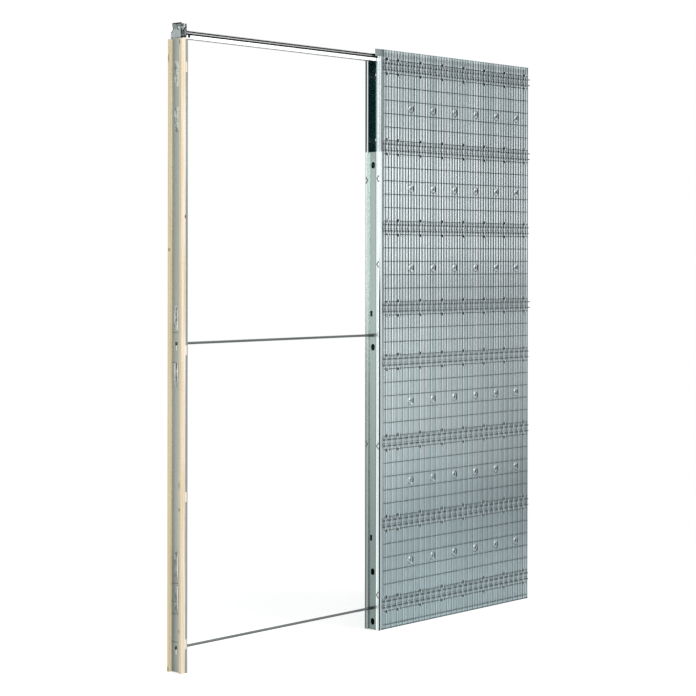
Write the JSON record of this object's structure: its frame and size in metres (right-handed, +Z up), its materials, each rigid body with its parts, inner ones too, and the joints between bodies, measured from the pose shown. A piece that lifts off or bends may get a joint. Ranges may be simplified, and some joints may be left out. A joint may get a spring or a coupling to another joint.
{
  "type": "pocket door frame",
  "caption": "Steel sub-frame for a sliding pocket door: strike post with pine battens, overhead track, spacer bars and a hollow pocket faced with wire mesh for plaster.",
  "frame": {"origin": "on the floor, in the middle of the frame's length and of its depth", "axes": "+X along the wall from the strike post to the pocket, +Y through the wall to its rear face, +Z up"},
  "size_m": [1.929, 0.07, 2.167],
  "materials": {
    "galvanised_sheet": "galvanised",
    "wire": "galvanised",
    "pine": "planed",
    "track_aluminium": "satin",
    "rubber": "matt"
  },
  "bodies": {
    "root": {"back_post": "galvanised_sheet", "band_rods_front_1": "wire", "band_rods_front_2": "wire", "band_rods_front_3": "wire", "band_rods_front_4": "wire", "band_rods_front_5": "wire", "band_rods_front_6": "wire", "band_rods_front_7": "wire", "band_rods_front_8": "wire", "band_rods_rear_1": "wire", "band_rods_rear_2": "wire", "band_rods_rear_3": "wire", "band_rods_rear_4": "wire", "band_rods_rear_5": "wire", "band_rods_rear_6": "wire", "band_rods_rear_7": "wire", "band_rods_rear_8": "wire", "base_channel": "galvanised_sheet", "closing_channel": "galvanised_sheet", "head_channel": "galvanised_sheet", "mesh_cross_wires_front": "wire", "mesh_cross_wires_rear": "wire", "mesh_inner_uprights_front": "wire", "mesh_inner_uprights_rear": "wire", "mesh_uprights_front": "wire", "mesh_uprights_rear": "wire", "mouth_post_front": "galvanised_sheet", "mouth_post_rear": "galvanised_sheet", "panel_front": "galvanised_sheet", "panel_rear": "galvanised_sheet", "spacer_bar_lower": "galvanised_sheet", "spacer_bar_middle": "galvanised_sheet", "strike_batten_front": "pine", "strike_batten_rear": "pine", "strike_head_bracket": "galvanised_sheet", "strike_head_plate": "galvanised_sheet", "strike_post": "galvanised_sheet", "top_track": "track_aluminium", "track_hangers": "galvanised_sheet", "track_stop": "rubber"}
  },
  "joints": []
}
